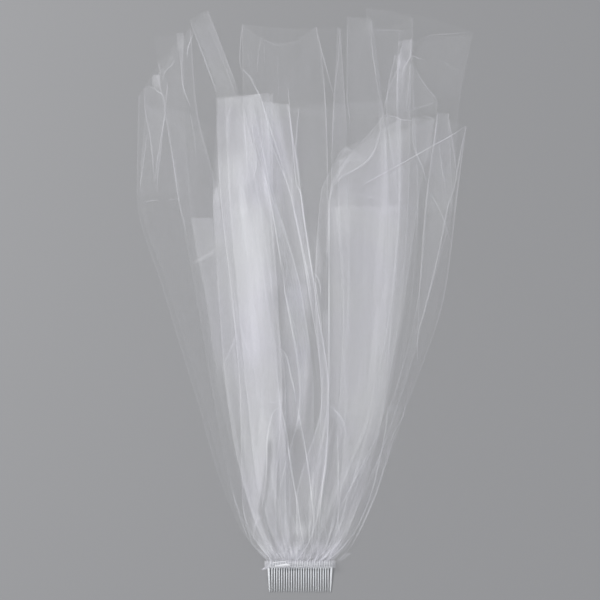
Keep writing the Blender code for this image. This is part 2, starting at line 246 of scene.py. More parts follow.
SHORT_PATCHES = {
    "left_margin": (0.3, 2, (94, 206, 216.5), (150, 206, 217.5), (190, 206, 218.5)),
}

# Small tucks and doubled edges that lie on each tier: how many layers of net one has, and its
# left and right edges at pixel rows of the photograph.
LONG_TUCKS = {
    "dart": (1.2, (88, 145, 160), (97, 144.5, 165), (113, 147, 165), (145, 151.5, 160),
        (180, 154.5, 156)),
    "dart_knot": (4, (75, 153, 160), (82, 152, 160.5), (90, 155, 161)),
    "panel_wedge": (2.5, (33, 176, 184), (45, 177.5, 184), (60, 180, 183.5), (78, 182, 184)),
    "strip_right": (2, (14, 206, 208.5), (50, 219.5, 222), (92, 234, 238)),
    "faint_corner": (0.5, (36, 154, 181), (48, 155, 179), (60, 157, 172), (78, 160, 163)),
    "centre_apex": (1.2, (30, 339.5, 341), (60, 338, 342.5), (100, 334, 345), (160, 332, 347)),
    "panel_347": (0.9, (17, 348, 371), (60, 347, 373), (100, 348, 379), (118, 350, 383)),
    "panel_372": (0.5, (31, 373, 412), (60, 374, 395), (112, 383, 388)),
    "bunch": (3, (40, 403, 411), (52, 400, 411), (62, 397, 408), (80, 396, 404), (115, 395, 399)),
    "bunch_step": (2, (56, 395.5, 402), (72, 396, 401)),
    "flap": (1.4, (60, 402, 412), (80, 393, 421), (101, 386, 437), (116, 382, 435)),
    "corner_flap": (0.8, (36, 428, 471), (55, 414, 469), (80, 421, 465), (104, 437, 459)),
}
SHORT_TUCKS = {
    "left_hem": (0.7, (107, 144, 162), (110, 150, 178), (115, 158, 191), (120, 166, 199),
        (126, 174, 207), (134, 184, 216)),
    "middle_hem": (0.8, (102.5, 343, 372), (104.5, 315, 377), (107, 297, 382), (111, 288, 385),
        (118, 286, 386)),
    "left_corner": (2.5, (184, 218.5, 220.5), (197, 214, 221.5), (209, 212.5, 222)),
    "left_strip": (1.7, (209, 213, 222), (250, 217, 227), (290, 219, 231), (330, 222, 234),
        (367, 222, 238), (392, 226, 240), (425, 233, 243), (462, 240, 247)),
    "left_panel": (3.3, (218, 191, 213), (250, 196, 216), (300, 206, 219), (350, 213, 222),
        (395, 220, 227)),
    "left_flap": (1.6, (336, 235, 237), (352, 229, 238), (366, 224.5, 238.5), (395, 229, 240)),
    "bundle_top": (0.4, (93, 219, 238), (105, 218, 240), (130, 219, 242), (190, 222, 244)),
    "wedge": (1, (148, 344, 347), (160, 337, 366), (172, 332, 352), (186, 329, 336)),
    "right_core": (1.15, (207, 330.5, 399), (260, 330.5, 397), (300, 330.5, 393), (350, 331.5, 388),
        (400, 335, 383), (440, 341, 376)),
    "arch_panel": (3, (118, 411, 435), (135, 411, 433), (150, 414, 431), (170, 420, 429)),
    "bright_edge": (1.6, (205, 386, 399), (260, 388, 397), (330, 372, 387), (400, 366, 382)),
    "side_strip": (1.3, (113, 436, 449), (150, 431, 454), (174, 427.5, 455), (200, 424.5, 450),
        (233, 421.5, 443), (284, 418.5, 430), (337, 416.5, 417.5)),
    "under_arch": (1.1, (403, 274, 281), (430, 270, 287), (460, 272, 291), (500, 272, 292)),
    "low_centre": (0.7, (402, 296, 297), (440, 304, 309), (480, 310, 316), (550, 316, 320)),
    "right_edge": (2.2, (405, 386, 402), (430, 384, 396), (470, 374, 385), (510, 360, 371),
        (545, 345, 354)),
    "comb_wisp": (3, (553, 345, 352), (557, 340, 347), (562, 335, 341)),
}
TUCK_CELL = 6 * MM
FEWEST_TUCK_STEPS, FEWEST_TUCK_CELLS = 4, 2
TUCK_RIM = 0.07
TUCK_FADE = 0.3
TUCK_EDGE_SHARE = 0.45

# Creases pinched into each tier: the width of one in millimetres, how many layers of net are
# pinched together in it, and the pixels that it runs through.
LONG_CREASES = {
    "strip_left_edge": (1.8, 4, (191, 24), (204, 58), (217, 93)),
    "strip_right_edge": (1.8, 5, (208, 12), (222, 47), (231, 71), (239, 92)),
    "dart_left": (2, 7.5, (145, 87), (145, 105), (150, 135), (153, 160), (154.5, 182)),
    "dart_right": (2.2, 7.5, (165, 97), (165, 113), (161, 140), (157, 165), (155, 182)),
    "dart_top": (1.8, 6, (145, 88), (152, 87), (158, 92), (163, 95), (165, 101)),
    "dart_echo": (2.2, 4, (165, 113), (161, 150), (158, 175), (157, 192)),
    "left_rim": (2.4, 4, (148, 130), (144, 160), (140, 190)),
    "cross_left": (1.6, 5, (144, 202.5), (150, 201), (159, 200)),
    "cross_right": (1.6, 5, (168, 200), (176, 199), (184, 197.5)),
    "corner_line": (2.4, 4, (157, 60), (160, 68), (161, 76)),
    "small_arc": (1.8, 5, (163, 80), (165, 72), (172, 66), (176, 59)),
    "panel_seam": (1.8, 5, (168, 83), (167, 95), (165.5, 108)),
    "strip_tick": (2.2, 10, (194, 32), (190, 43), (188, 50), (187.5, 58)),
    "panel_line": (2, 10, (181, 60), (182, 72), (183, 85), (186, 95), (191, 108)),
    "edge_243": (2.2, 5.5, (243, 25), (241, 38), (240, 60), (242, 72)),
    "top_peak_left": (1.8, 3.5, (262, 38), (259, 50), (257, 75)),
    "top_peak_right": (1.6, 3, (262, 38), (264.5, 50), (265, 68)),
    "top_scallop": (1.6, 2.5, (262, 38), (270, 43), (279, 46), (281, 46)),
    "top_scallop_right": (1.6, 2, (281, 46), (295, 43), (312, 40)),
    "top_seam": (2, 2, (278, 48), (278, 75), (279, 100)),
    "top_seam_left": (2, 2, (248, 52), (250, 68)),
    "edge_centre": (2, 4.5, (316, 27), (320, 45), (323, 70), (325, 95), (327, 140), (328, 178)),
    "thin_centre": (1.8, 8.5, (317.5, 35), (324, 60), (330, 82), (334.5, 99)),
    "apex_left": (2.2, 3.5, (340, 29), (339, 50), (336, 80), (334, 100), (332, 140), (331, 165)),
    "apex_right": (2, 3.5, (340, 30), (342, 60), (344, 90), (346, 120), (347, 147)),
    "panel_edge": (2, 3.5, (348, 17), (347, 60), (347, 95), (350, 125), (350, 145)),
    "fold_372": (2.2, 5, (371, 20), (372, 45), (375, 70), (379, 95), (382, 112)),
    "hem_372": (1.6, 4, (372, 31), (385, 30.5), (400, 31), (411, 32)),
    "hem_tick": (1.6, 4, (399, 30), (399, 39), (399, 48)),
    "bunch_left": (2.4, 7, (403, 42), (399, 62), (397, 85), (396.5, 114)),
    "bunch_right": (2.4, 8, (411, 38), (411, 48), (410, 57), (405, 66), (400, 80)),
    "bunch_rays": (2, 5, (411, 55), (416, 58), (424, 60)),
    "flap_left": (2.2, 6, (402, 58), (393, 80), (387, 95), (383, 115)),
    "flap_right": (2.2, 4.5, (412, 63), (421, 80), (428, 90), (437, 101), (435, 118)),
    "flap_hem": (1.8, 5, (397, 113), (412, 110), (425, 106), (437, 102)),
    "flap_line": (2, 4, (410, 62), (408, 90), (405, 112)),
    "fan_left": (2, 3.5, (412, 46), (425, 38), (434, 35), (452, 34), (471, 32)),
    "fan_ray": (2.4, 3, (440, 60), (452, 68), (462, 72)),
    "diagonal_a_top": (3.4, 5, (241, 68), (250, 77), (256, 88), (262, 101)),
}
SHORT_CREASES = {
    "panel_wisp": (7, 3.5, (192, 264), (203, 259), (211, 254), (217, 249)),
    "flap_edge": (2, 7, (223, 372), (227, 358), (233, 344), (236, 334)),
    "panel_tail": (2, 4, (191, 115), (195, 140), (197, 165)),
    "strip_edge": (2, 5, (165, 112), (170, 140), (175, 170), (179, 200), (186, 228), (190, 246)),
    "bundle_top_hem": (2, 1.5, (217, 98), (226, 93), (238, 94)),
    "left_soft_a": (3, 3, (233, 104), (229, 118), (228, 142)),
    "left_soft_b": (3, 6.5, (241, 97), (244, 110), (246, 140), (248, 165), (247, 188)),
    "left_soft_c": (2.6, 6.5, (251, 105), (254, 140), (257, 160), (256, 172), (251, 183)),
    "left_soft_d": (3, 5, (239, 182), (245, 195), (248, 216)),
    "core_top": (4, 3, (239, 214), (250, 212), (263, 214)),
    "core_right": (3.6, 2.5, (262, 262), (267, 300), (272, 335), (276, 362), (280, 398)),
    "core_left": (3.4, 3, (240, 318), (245, 340), (255, 368), (259, 400)),
    "core_line": (3, 3, (231, 262), (236, 300), (240, 330)),
    "strip_line": (2.4, 3, (213, 210), (217, 250), (219, 290), (222, 330), (222, 367)),
    "diagonal_a": (2.4, 12.5, (253, 84), (262, 101), (268, 125), (272, 145), (277, 158), (284, 175),
        (290, 193), (293, 204)),
    "diagonal_a_tail": (2.2, 7.5, (293, 204), (298, 225), (303, 250), (309, 280), (313, 305)),
    "line_3": (2.4, 10, (254, 108), (259, 135), (264, 155), (269, 180), (272, 197), (278, 213),
        (284, 226), (289, 245), (294, 262), (299, 282), (304, 300)),
    "line_4": (2.4, 10, (268, 185), (275, 225), (279, 248), (284, 272), (285, 290), (289, 310),
        (293, 332), (297, 350), (298, 362)),
    "line_4_top": (2.2, 7.5, (244, 108), (249, 132), (257, 158), (264, 176), (268, 186)),
    "diagonal_d": (2.8, 15, (288, 86), (290, 112), (292, 135), (294, 160), (297, 185), (301, 194),
        (304, 218), (307, 238), (310, 258), (313, 275), (318, 300), (322, 330)),
    "diagonal_d_inner": (2.2, 7.5, (293, 150), (292, 178), (293, 200), (297, 225), (303, 252)),
    "line_e": (2.4, 10, (299, 106), (297, 130), (296, 150), (298, 165), (300, 180), (304, 190)),
    "fork": (2.2, 10, (311, 271), (317, 277), (320, 285), (321, 299)),
    "slit_cross": (1.8, 7.5, (283, 250), (287, 268), (285, 288)),
    "slit_side": (2, 7.5, (287, 300), (292, 318), (297, 330)),
    "hem_scallop": (2.4, 7.5, (383, 118), (390, 117), (397, 119), (403, 121), (411, 121), (419, 118)),
    "hem_step": (2, 7.5, (419, 116), (427, 117), (433, 119)),
    "long_diagonal": (1.4, 15, (466, 126), (449, 137), (431, 147), (400, 165), (380, 176),
        (360, 187)),
    "wedge_top": (1.6, 7, (336, 161), (345, 162), (355, 161), (366, 160)),
    "wedge_inner": (2.4, 6, (347, 160), (343, 168), (338, 176), (333, 186)),
    "wedge_curve": (3, 8, (381, 120), (379, 135), (376, 147), (371, 157), (363, 165), (352, 172),
        (340, 179), (334, 186)),
    "wedge_edge": (2, 5, (331, 170), (336, 160), (345, 148), (349, 151), (356, 150)),
    "bundle_329": (2.4, 15, (333, 186), (329, 205), (329, 260), (329, 330), (329, 390)),
    "bundle_341": (2.2, 2.5, (337, 214), (340, 240), (341, 270), (341, 330), (344, 370), (343, 400)),
    "right_arc": (2.2, 7.5, (412, 120), (412, 140), (416, 155), (422, 170), (427, 186)),
    "inner_hem_left": (1.8, 3, (335, 208), (350, 207.5), (368, 207)),
    "inner_hem_right": (1.8, 3, (380, 210), (400, 209), (421, 208)),
    "inner_crease": (3, 2.5, (350, 194), (370, 198), (385, 198)),
    "side_left": (2.4, 4.5, (437, 114), (434, 140), (430, 165), (427, 190), (424, 220), (421, 260),
        (418, 310), (417, 336)),
    "side_right_top": (2.2, 6.5, (448, 115), (451, 135), (454, 155), (457, 180)),
    "side_right": (2.4, 8.5, (466, 127), (462, 145), (458, 165), (454, 187), (448, 205), (441, 240),
        (433, 275), (424, 310), (417, 338), (417, 363)),
    "side_flap": (2, 7.5, (427, 190), (437, 206), (445, 225), (452, 247)),
    "side_inner": (2, 5, (437, 130), (441, 165), (446, 192)),
    "arch_left": (2.4, 5, (262, 403), (271, 401), (281, 403)),
    "arch_right": (2.6, 12, (281, 405), (273, 412), (269, 428), (267, 446), (267, 466)),
    "low_a": (2.6, 12.5, (276, 347), (284, 351), (288, 360), (291, 375), (295, 392), (297, 404)),
    "low_b": (2.4, 12.5, (297, 402), (300, 420), (304, 440), (308, 465), (311, 490), (314, 520),
        (317, 550)),
    "low_c": (2.4, 12.5, (276, 365), (279, 390), (281, 405), (286, 428), (289, 450), (293, 478),
        (297, 500), (300, 522), (304, 545)),
    "low_d": (2.4, 7.5, (268, 448), (266, 480), (262, 508)),
    "low_e": (2.4, 5, (271, 462), (274, 485), (282, 510), (290, 532), (297, 552)),
    "low_f": (2.4, 7.5, (263, 513), (257, 520), (254, 532), (254, 546)),
    "low_g": (2.2, 5, (263, 513), (268, 530), (274, 550)),
    "low_h": (2.4, 7.5, (337, 430), (338, 460), (338, 490), (338, 520), (341, 546)),
    "low_i": (2.2, 5, (347, 440), (347, 480), (343, 520), (338, 550)),
    "low_j": (2, 7.5, (323, 518), (326, 533), (328, 550)),
    "low_k": (2, 5, (283, 490), (290, 510), (297, 530), (301, 550)),
    "low_l": (2.2, 5, (305, 508), (309, 530), (312, 550)),
    "peak_left": (2.8, 12.5, (328, 402), (328, 430), (326, 460), (322, 490), (319, 520), (317, 552)),
    "peak_right": (2.8, 7, (328, 402), (333, 408), (339, 414), (344, 424), (347, 440)),
    "peak_cross": (3, 2.5, (340, 411), (355, 413), (366, 409)),
    "left_low": (2, 7.5, (232, 490), (240, 515), (248, 537)),
    "left_lowest": (2, 7.5, (243, 505), (247, 525), (253, 545)),
    "right_low_inner": (2.4, 12.5, (387, 405), (386, 420), (383, 440), (378, 465), (372, 490),
        (365, 510), (355, 532), (344, 552)),
    "right_low_outer": (2.4, 8, (413, 378), (409, 392), (404, 410), (402, 418), (396, 428), (390, 442),
        (385, 462), (379, 485), (370, 508), (360, 530), (351, 546), (340, 559)),
    "right_low_between": (2, 7.5, (398, 428), (391, 445), (384, 470), (376, 490)),
}
CREASE_STEP = 5 * MM
FEWEST_CREASE_STEPS = 6
CREASE_SWELL = (0.5, 1.35)
CREASE_RISE = 0.4
CREASE_SIDES = (-1, -0.5, 0, 0.5, 1)
CREASE_SIDE_LAYERS = (0.15, 0.8, 1, 0.8, 0.15)
CREASE_END, CREASE_TAPER = 0.03, 0.4
CREASE_LIFT = 0.25 * MM
ABOVE_ALL = 1.0
# How far a crease's own rise reaches through the pile: times its width, and on top of that.
CREASE_SPREAD, CREASE_MARGIN = 1.4, 1

# A tier: its piece here and its node in the part, whether its first fold turns right, the seed of
# its random draws, and its tables.
Tier = namedtuple("Tier", "piece node first_is_right seed folds layers pinches patches tucks creases")
LONG = Tier("long_tier_net", "tier_lower", True, 1, LONG_TIER, LONG_LAYERS, LONG_PINCHES,
            PATCHES | LONG_PATCHES, LONG_TUCKS, LONG_CREASES)
SHORT = Tier("short_tier_net", "tier_upper", False, 2, SHORT_TIER, SHORT_LAYERS, SHORT_PINCHES,
             PATCHES | SHORT_PATCHES, SHORT_TUCKS, SHORT_CREASES)

# ---- looks of the materials

# Values that are the same all over, by the names of the shader's sockets.
TULLE_VALUES = {"Sheen Weight": 0.3, "Sheen Roughness": 0.4, "Specular IOR Level": 0.3}
PLASTIC_VALUES = {"Base Color": (0.95, 0.965, 0.98, 1), "IOR": 1.49}
THREAD_VALUES = {"Base Color": (0.88, 0.88, 0.9, 1), "Sheen Weight": 0.4}
TABLE_VALUES = {"Base Color": (0.3, 0.3, 0.305, 1), "Roughness": 0.9, "Specular IOR Level": 0.0}

# The net's mesh is a sum of three waves, which passes from the holes to the threads in NET_WAVES.
NET_PITCH = 1.5 * MM
NET_ANGLES, NET_WAVES = (0, 60, 120), (0.6, -1.2)
NET_ALPHA, HOLE_ALPHA_SHARE, THREAD_ALPHA_SWING = 0.045, 0.45, 1.2
NET_RELIEF = 0.05 * MM
NET_ROUGHNESS = (0.7, 0.5)
NET_LAVENDER = (0.722, 0.718, 0.765, 1)
NET_NEUTRAL = (0.738, 0.742, 0.76, 1)
NET_TINT_SIZE, NET_TINT_RANGE = 60 * MM, (0.35, 0.65)

# How clear the plastic is, and how far behind the teeth's roots the bar is at its clearest. The teeth
# are painted milkiest at their roots and clearer towards the tips: a painted highlight in place of the
# glints along the teeth.
PAINTED_HIGHLIGHT_ROOT_CLEAR, PAINTED_HIGHLIGHT_TIP_CLEAR, BAR_CLEAR = 0.15, 0.55, 0.75
CLEARING = 2 * MM
PLASTIC_SCUFFS, SCUFF_RANGE = 3 * MM, (0.35, 0.7)
PLASTIC_ROUGHNESS = (0.06, 0.24)
PLASTIC_RELIEF = 0.03 * MM
PLY_SCALE = 500
PLY_ROUGHNESS = (0.5, 0.3)
PLY_RELIEF = 0.05 * MM

# ---- sizes of the fine comb, heading and sewing

TOOTH_SECTIONS, TOOTH_POINTS = 14, 12
TOOTH_SINK, TOOTH_LIFT = 0.6 * MM, 0.05 * MM
TIP_ROUNDING, TIP_BLUNTNESS = 0.1, 0.1
FINISH_SHARE = 0.95
BOX_ROUNDNESS = 0.6

HEADING_SEED, STITCH_SEED, KNOT_SEED = 3, 11, 8
HEADING_PLEATS = 52
POINTS_A_PLEAT = 6
PROFILE_POINTS = 26
HEADING_FOOT = 0.3 * MM
PLEAT_WIDTHS, PLEAT_HEIGHTS = (0.5, 1.5), (0.4, 1)
HEADING_RIPPLE = 0.5 * MM
HEADING_LAYERS, RIPPLE_LAYERS_SHARE = 14, 0.35
END_SHARE, END_DROOP = 0.04, 0.35
HEADING_FULLNESS, KNOT_FULLNESS = 4, 3
JUST_CLEAR = 0.1 * MM

STITCH_RADIUS = 0.2 * MM
STRAND_RADIUS = 0.4 * MM
STITCH_LEAN, STITCH_LEANS = 1.2 * MM, (0.6, 1.4)
STITCH_SCATTER = 0.25 * MM
STITCH_LIFT = 0.45 * MM
STITCH_FOOT = 1.0 * MM
THREAD_POINTS = 6
# A direction that no thread runs along.
THREAD_UP = (0.3, 0.2, 0.93)
CREST_SHARE = 0.3
FINE_STEPS = 14
# Pixels that the loose strands of thread, and the knot's middle, run through.
LOOSE_STRANDS = [
    [(275, 566), (282, 564.6), (290, 563.6)],
    [(276, 565.4), (283, 564), (289.5, 562.9)],
    [(275, 565), (281, 563.8), (287, 562.8)],
    [(278, 566.3), (284, 565.2), (290, 564.4)],
    [(273, 561.9), (281, 561), (288, 560.3)],
]
KNOT_PIXELS = [(261.5, 569.3), (264, 568.2), (267, 566.8), (271, 566)]
KNOT_HEIGHTS = [1.2 * MM, 2.0 * MM, 2.6 * MM, 3.0 * MM]
KNOT_RADII = [0.3 * MM, 2.1 * MM, 2.8 * MM, 1.8 * MM]
KNOT_POINTS = 16
KNOT_STATIONS, KNOT_CRUMPLE = 6, (0.7, 1.25)
KNOT_FLATNESS = 0.5
KNOT_LAYERS = 9.0

# ---- sizes of the stage, the lights and the camera

STAGE_HALF = 6.0
# Each light's place, size and power.
LIGHTS = {"key": ((-2.4, 1.3, 1.9), 1.0, 84), "fill": ((2.4, -0.6, 2.4), 1.8, 34)}
LIGHT_TARGET = (0, 0.33, 0)
SKY_COLOUR, SKY_STRENGTH = (0.93, 0.95, 1.0, 1), 0.46
CAMERA_HEIGHT, SENSOR_WIDTH = 3.2, 36
TRANSPARENT_BOUNCES = 96

# ---- fold lines and runs, as in the part


def smooth_step(share):
    share = np.clip(share, 0, 1)
    return share * share * (3 - 2 * share)


def glide(values, at, stations=None, flare=1):
    """Curves down the columns of values that never swing past them, read at the places in at.

    The values stand at the stations, or else one apart. A flare above 1 steepens the start.
    """
    stations = np.arange(len(values)) if stations is None else np.array(stations)
    gaps = np.diff(stations)[:, None]
    steps = np.diff(values, axis=0) / gaps
    slopes = np.zeros(values.shape)
    slopes[0], slopes[-1] = steps[0] * flare, steps[-1]
    product, total = steps[:-1] * steps[1:], steps[:-1] + steps[1:]
    slopes[1:-1] = np.where(product > 0, 2 * product / np.where(product > 0, total, 1), 0)
    k = np.clip(np.searchsorted(stations, at, side="right") - 1, 0, len(gaps) - 1)
    gap = gaps[k, 0]
    t = (at - stations[k]) / gap
    here, there = np.take_along_axis(values, k, 0), np.take_along_axis(values, k + 1, 0)
    leave, arrive = (np.take_along_axis(slopes, k + side, 0) * gap for side in (0, 1))
    blend = smooth_step(t)
    return here * (1 - blend) + there * blend + leave * t * (1 - t) ** 2 - arrive * t * t * (1 - t)


def glide_rows(values, count):
    """The rows of values, drawn finely as count rows on smooth curves."""
    at = np.linspace(0, len(values) - 1, count)[:, None]
    return glide(values, np.repeat(at, values.shape[1], 1))


def is_right_turn(tier, index):
    return (index % 2 == 0) == tier.first_is_right


def fold_lines(tier, rows):
    """x and y of each fold line at each row from the comb to the hem."""
    lines = []
    for index, fold in enumerate(tier.folds):
        is_right = is_right_turn(tier, index)
        spread = GATHERED_WIDTH - 2 * GATHER_OVERLAP
        at_comb = (index / (len(tier.folds) - 1) - 0.5) * spread
        at_comb += GATHER_OVERLAP if is_right else -GATHER_OVERLAP
        inner = [(y, getattr(fold, name)) for name, y in STATIONS.items()]
        kept = [(y, x) for y, x in inner if x is not None and y < fold.hem_y - LAST_STRETCH]
        stations, values = zip((0, at_comb / MM), *kept, (fold.hem_y, fold.hem_x))
        along = fold.hem_y * (np.arange(rows + 1) / rows) ** ROW_CROWDING
        x = glide(np.array(values)[:, None], along[:, None], stations, FLARE)[:, 0] * MM
        y = GATHER_LINE + along * MM
        if lines:
            nearest = lines[-1][0] + (NARROWEST_RUN if is_right else -NARROWEST_RUN)
            x = np.maximum(x, nearest) if is_right else np.minimum(x, nearest)
        lines.append((x, y))
    return lines


def run_between(start, end, dip, across):
    """x and y over a run from one fold line to the next, at the shares of its width in across."""
    x = start[0][:, None] * (1 - across) + end[0][:, None] * across
    y = start[1][:, None] * (1 - across) + end[1][:, None] * across
    towards_hem = np.linspace(0, 1, len(x))[:, None] ** DIP_CROWDING
    return x, y - dip * MM * towards_hem * np.sin(math.pi * across)


def grid_triangles(rows, columns):
    """Row and column of each corner, for the two triangles of each cell of a grid."""
    for j in range(rows - 1):
        for i in range(columns - 1):
            yield (j, i), (j, i + 1), (j + 1, i + 1)
            yield (j, i), (j + 1, i + 1), (j + 1, i)


class Pile:
    """The height of everything laid so far, on a grid seen from above."""

    def __init__(self):
        columns = int((PILE_HIGH[0] - PILE_LOW[0]) / PILE_STEP)
        rows = int((PILE_HIGH[1] - PILE_LOW[1]) / PILE_STEP)
        self.top = np.full((rows, columns), -LAYER_GAP)

    def cells_under(self, corners):
        """Grid cells under a triangle, and each corner's share in them."""
        low = ((corners.min(0) - PILE_LOW) / PILE_STEP).astype(int)
        high = ((corners.max(0) - PILE_LOW) / PILE_STEP).astype(int) + 2
        columns, rows = np.meshgrid(np.arange(low[0], high[0]), np.arange(low[1], high[1]))
        to_x = corners[:, 0] - (PILE_LOW[0] + columns * PILE_STEP)[..., None]
        to_y = corners[:, 1] - (PILE_LOW[1] + rows * PILE_STEP)[..., None]
        (across, along), (back, ahead) = corners[1:] - corners[0]
        next_x, last_x = np.roll(to_x, -1, -1), np.roll(to_x, -2, -1)
        next_y, last_y = np.roll(to_y, -1, -1), np.roll(to_y, -2, -1)
        shares = (next_x * last_y - last_x * next_y) / (across * ahead - back * along)
        inside = (shares >= 0).all(axis=-1)
        return rows[inside], columns[inside], shares[inside]

    def lay(self, x, y):
        """Lays a run at x, y on the pile. Returns the heights of its middle surface.

        The run is looked at with a rim all round it, which its rounded folds reach into.
        """
        index = np.pad(np.arange(x.size).reshape(x.shape), 1, mode="edge")
        rim_x, rim_y = np.pad(x, 1, mode="edge"), np.pad(y, 1, mode="edge")
        outward = EDGE_MARGIN * np.sign(rim_x[:, -1] - rim_x[:, 0])
        rim_x[:, 0] -= outward
        rim_x[:, -1] += outward
        rim_y[0] -= EDGE_MARGIN
        rim_y[-1] += EDGE_MARGIN
        plan = np.stack([rim_x, rim_y], axis=-1)
        rest = LAYER_GAP + WALL / 2
        patches = []
        for triangle in grid_triangles(*index.shape):
            rows, columns, shares = self.cells_under(np.array([plan[at] for at in triangle]))
            if len(rows):
                patches.append(([index[at] for at in triangle], rows, columns, shares))
        height = np.full(x.size, WALL / 2)
        needs = [(corners, shares, self.top[rows, columns] + rest)
                 for corners, rows, columns, shares in patches]
        for fall in FALLS:
            height = np.maximum(height - fall, WALL / 2)
            for _ in range(SWEEPS):
                for need in needs:
                    raise_over(height, *need)
        while max(raise_over(height, *need) for need in needs) > SETTLED:
            pass
        for corners, rows, columns, shares in patches:
            top = shares @ height[corners] + WALL / 2
            self.top[rows, columns] = np.maximum(self.top[rows, columns], top)
        return height.reshape(x.shape)


def raise_over(height, corners, shares, need):
    """Raises a triangle's corners just enough where it falls furthest below its need."""
    short = need - shares @ height[corners]
    worst = short.argmax()
    if short[worst] > 0:
        share = shares[worst]
        height[corners] += share * short[worst] / (share @ share)
    return short[worst]


# ---- soft relief of the whole pile


def pixel_to_plan(points):
    """Pixels of the photograph as x and y on the table, in metres."""
    return (np.array(points) - GATHER_PIXEL) * (PIXEL, -PIXEL) + (0, GATHER_LINE)


def plan_to_pixel(x, y):
    """The reverse of pixel_to_plan."""
    return x / PIXEL + GATHER_PIXEL[0], GATHER_PIXEL[1] - (y - GATHER_LINE) / PIXEL


def crease_path(pixels):
    """The middle of a crease on the table, in short steps."""
    knots = pixel_to_plan(pixels)
    length = np.linalg.norm(np.diff(knots, axis=0), axis=1).sum()
    return glide_rows(knots, max(FEWEST_CREASE_STEPS, int(length / CREASE_STEP)) + 1)


def distance_to(path, x, y):
    """How far each place is from a path."""
    nearest = np.full(x.shape, np.inf)
    for (ax, ay), (bx, by) in zip(path, path[1:]):
        step_x, step_y = bx - ax, by - ay
        along = ((x - ax) * step_x + (y - ay) * step_y) / (step_x ** 2 + step_y ** 2)
        along = np.clip(along, 0, 1)
        nearest = np.minimum(nearest, np.hypot(x - ax - along * step_x, y - ay - along * step_y))
    return nearest


def cloth_outline():
    """y, and the cloth's left and right edges there."""
    lines = fold_lines(LONG, ROWS) + fold_lines(SHORT, ROWS)
    y = np.linspace(GATHER_LINE, OUTLINE_END, OUTLINE_ROWS)
    x = np.array([np.interp(y, line_y, line_x) for line_x, line_y in lines])
    return y, x.min(0), x.max(0)


def fan_pleats(x, y):
    """How high the pleats that fan out from the comb lift the cloth at each place."""
    chance = np.random.default_rng(FAN_SEED)
    outline_y, left, right = cloth_outline()
    left, right = np.interp(y, outline_y, left), np.interp(y, outline_y, right)
    across = (x - left) / (right - left)
    lift = np.zeros(x.shape)
    for i in range(FAN_PLEATS):
        middle = (i + 0.5 + chance.uniform(-FAN_SCATTER, FAN_SCATTER)) / FAN_PLEATS
        length = chance.uniform(*FAN_LENGTHS)
        height = chance.uniform(*FAN_HEIGHTS)
        width = chance.uniform(*FAN_WIDTHS) / FAN_PLEATS
        lean = chance.uniform(-FAN_LEAN, FAN_LEAN) / FAN_PLEATS
        share = (y - GATHER_LINE) / length
        crest = np.exp(-((across - middle - lean * share) / width) ** 2)
        lift += height * crest * smooth_step(FAN_FADE * (1 - share))
    return lift


def pile_relief(x, y):
    """The soft ridges that all layers share at each place: fanning pleats and the creases' own."""
    lift = fan_pleats(x, y)
    for width, _, *pixels in [*LONG_CREASES.values(), *SHORT_CREASES.values()]:
        path = crease_path(pixels)
        spread = (CREASE_SPREAD * width + CREASE_MARGIN) * MM
        low, high = path.min(0) - 2 * spread, path.max(0) + 2 * spread
        near = (x > low[0]) & (x < high[0]) & (y > low[1]) & (y < high[1])
        away = distance_to(path, x[near], y[near])
        lift[near] += CREASE_RISE * width * MM * np.exp(-(away / spread) ** 2)
    return lift


def patch_density(x, y, patches):
    """How many times as dense as elsewhere the net is at each place."""
    pixel_x, pixel_y = plan_to_pixel(x, y)
    density = np.ones(x.shape)
    for times, soft, *rungs in patches.values():
        rows, lefts, rights = np.array(rungs, float).T
        left, right = np.interp(pixel_y, rows, lefts), np.interp(pixel_y, rows, rights)
        inside = np.minimum(pixel_x - left, right - pixel_x) / soft + 0.5
        ends = np.minimum(pixel_y - rows[0], rows[-1] - pixel_y) / (2 * soft) + 0.5
        density *= 1 + (times - 1) * smooth_step(inside) * smooth_step(ends)
    return density


# ---- fine net shells


def fine_across(start, end):
    """Shares of a run's width, row by row: crowded at both folds and even between them."""
    width = np.abs(end[0] - start[0])
    cells = int(np.clip(round(width.max() / FINE_CELL), FEWEST_FINE, MOST_FINE))
    insets = np.minimum(np.array(FOLD_INSETS) / width[:, None], MOST_INSET_SHARES)
    even = np.linspace(0, 1, cells + 1)[1:-1]
    inner = insets[:, -1:] * (1 - even) + (1 - insets[:, -1:]) * even
    zero = np.zeros((len(width), 1))
    return np.hstack([zero, insets, inner, 1 - insets[:, ::-1], zero + 1])


def fine_run(coarse, start, end, dip, layers, chance):
    """Fine x, y, z and net layers of a run whose coarse heights are known."""
    across = fine_across(start, end)
    x, y = run_between(start, end, dip, across)
    z = glide_rows(coarse, len(x))
    z = glide(z.T, across.T * (coarse.shape[1] - 1)).T
    streaks = glide_rows(chance.uniform(-1, 1, (STREAK_STATIONS, x.shape[1])), len(x))
    z = z + STREAK_HEIGHT * streaks * np.sin(math.pi * across)
    run = np.stack([x, y, z, layers * (1 + STREAK_SHARE * streaks)])
    hem_edge = run[:, -2:-1] * HEM_EDGE_SHARE + run[:, -1:] * (1 - HEM_EDGE_SHARE)
    run = np.concatenate([run[:, :-1], hem_edge, run[:, -1:]], axis=1)
    run[3, -2:] += HEM_LAYERS * layers
    return run


